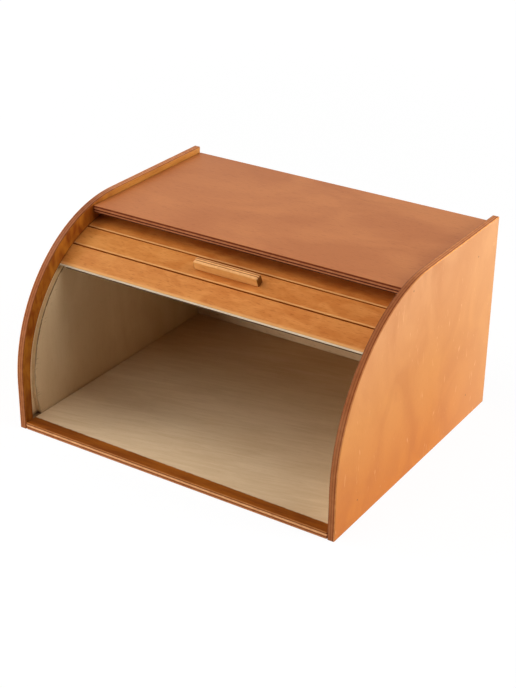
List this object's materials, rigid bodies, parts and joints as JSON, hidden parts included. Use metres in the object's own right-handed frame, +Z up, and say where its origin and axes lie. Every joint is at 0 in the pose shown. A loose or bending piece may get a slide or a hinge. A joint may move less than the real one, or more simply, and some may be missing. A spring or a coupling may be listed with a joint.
{
  "type": "bread box",
  "caption": "Roll-top bread box with quarter-round plywood sides and a slatted tambour door that rolls up under the top panel.",
  "frame": {"origin": "on the table, under the middle of the case", "axes": "+X to the right of someone facing the door, +Y to the back, +Z up"},
  "size_m": [0.29, 0.245, 0.165],
  "materials": {
    "stained_birch_plywood": "honey-stained and lacquered, satin",
    "bare_birch_plywood": "bare sanded birch, stained at the front edge",
    "stained_birch_slat": "honey-stained outside, satin",
    "stained_birch_handle": "honey-stained, satin, plies showing",
    "cotton_canvas": "plain cotton canvas, glued",
    "beech_dowel": "bare",
    "zinc_plated_steel": "bright zinc"
  },
  "bodies": {
    "case": {"left_side": "stained_birch_plywood", "right_side": "stained_birch_plywood", "floor_panel": "bare_birch_plywood", "top_panel": "stained_birch_plywood", "back_panel": "stained_birch_plywood", "floor_dowel_left_1": "beech_dowel", "floor_dowel_left_2": "beech_dowel", "floor_dowel_left_3": "beech_dowel", "floor_dowel_right_1": "beech_dowel", "floor_dowel_right_2": "beech_dowel", "floor_dowel_right_3": "beech_dowel", "top_dowel_left_1": "beech_dowel", "top_dowel_left_2": "beech_dowel", "top_dowel_right_1": "beech_dowel", "top_dowel_right_2": "beech_dowel", "back_dowel_left_1": "beech_dowel", "back_dowel_left_2": "beech_dowel", "back_dowel_right_1": "beech_dowel", "back_dowel_right_2": "beech_dowel"},
    "tambour": {"slat_01": "stained_birch_slat", "slat_02": "stained_birch_slat", "slat_03": "stained_birch_slat", "slat_04": "stained_birch_slat", "slat_05": "stained_birch_slat", "slat_06": "stained_birch_slat", "slat_07": "stained_birch_slat", "slat_08": "stained_birch_slat", "slat_09": "stained_birch_slat", "slat_10": "stained_birch_slat", "canvas_backing": "cotton_canvas", "handle": "stained_birch_handle", "handle_screw_left": "zinc_plated_steel", "handle_screw_right": "zinc_plated_steel"}
  },
  "joints": [
    {"name": "tambour_roll", "type": "hinge", "parent": "case", "child": "tambour", "pos_m": [0, 0, 0.036], "axis": [1, 0, 0], "range_deg": [-7.9, 67]}
  ]
}
